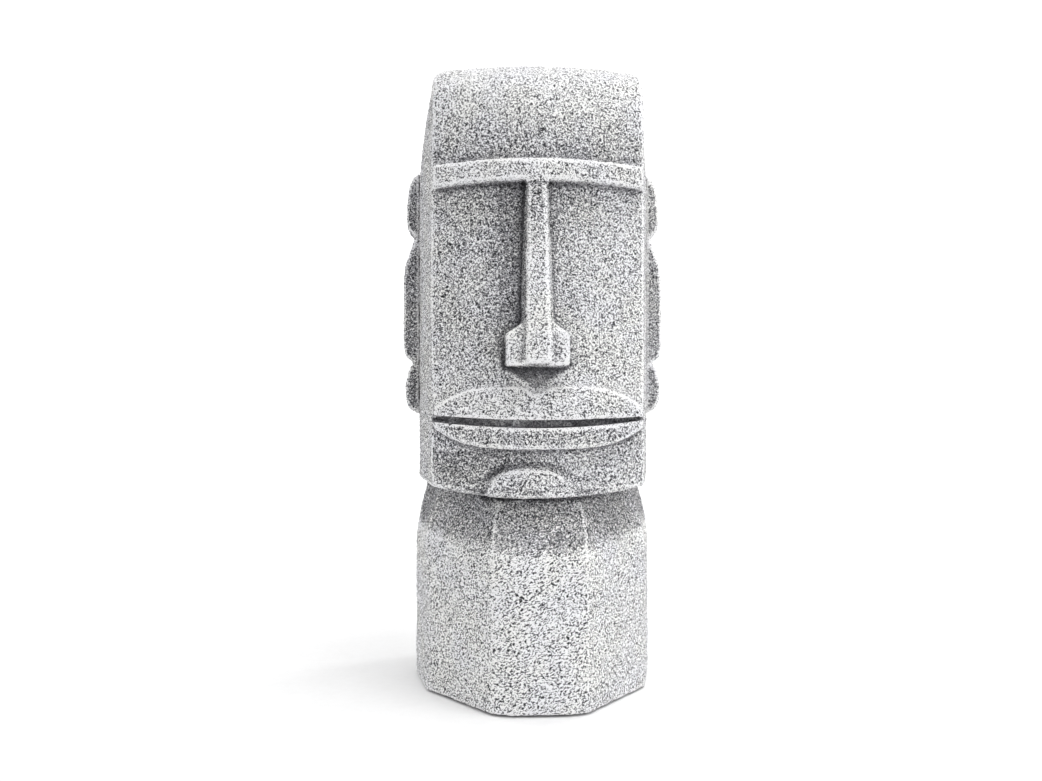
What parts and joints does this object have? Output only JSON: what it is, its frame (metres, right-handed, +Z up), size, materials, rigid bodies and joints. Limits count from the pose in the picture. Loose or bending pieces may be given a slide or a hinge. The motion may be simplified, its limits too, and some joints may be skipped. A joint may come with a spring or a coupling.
{
  "type": "garden figure",
  "caption": "Standing stylised stone-look head and bust with brow ledge, long nose and slit mouth; hollow moulded shells, ballast filled through a screw plug in the base.",
  "frame": {"origin": "on the ground under the middle of the figure's bounding box", "axes": "+Z up the figure, the face looks towards -Y, +X is on the right of someone who looks at the face"},
  "size_m": [0.309, 0.2819, 0.711],
  "materials": {
    "stone_finish": "matte",
    "ear_finish": "matte",
    "screws": "satin",
    "adhesive": "matte",
    "dowels": "satin",
    "base": "matte",
    "pads": "matte",
    "sand": "matte",
    "plug": "satin",
    "gasket": "matte"
  },
  "bodies": {
    "figure": {"front_shell": "stone_finish", "rear_shell": "stone_finish", "left_ear": "ear_finish", "right_ear": "ear_finish", "ear_screws": "screws", "seam_strip": "adhesive", "seam_dowels": "dowels", "base_plate": "base", "base_screws": "screws", "foot_pads": "pads", "sand_fill": "sand"},
    "gasket": {"plug_gasket": "gasket"},
    "plug": {"filler_plug": "plug"}
  },
  "joints": [
    {"name": "plug_travel", "type": "slide", "parent": "figure", "child": "gasket", "axis": [0, 0, -1], "range_m": [0, 0.012]},
    {"name": "plug_turn", "type": "hinge", "parent": "gasket", "child": "plug", "pos_m": [0, 0.01, 0.0045], "axis": [0, 0, -1], "range_deg": [0, 1081]}
  ],
  "couplings": [
    {"joint": "plug_turn", "follows": "plug_travel", "rad_per_m": 1570.8}
  ]
}
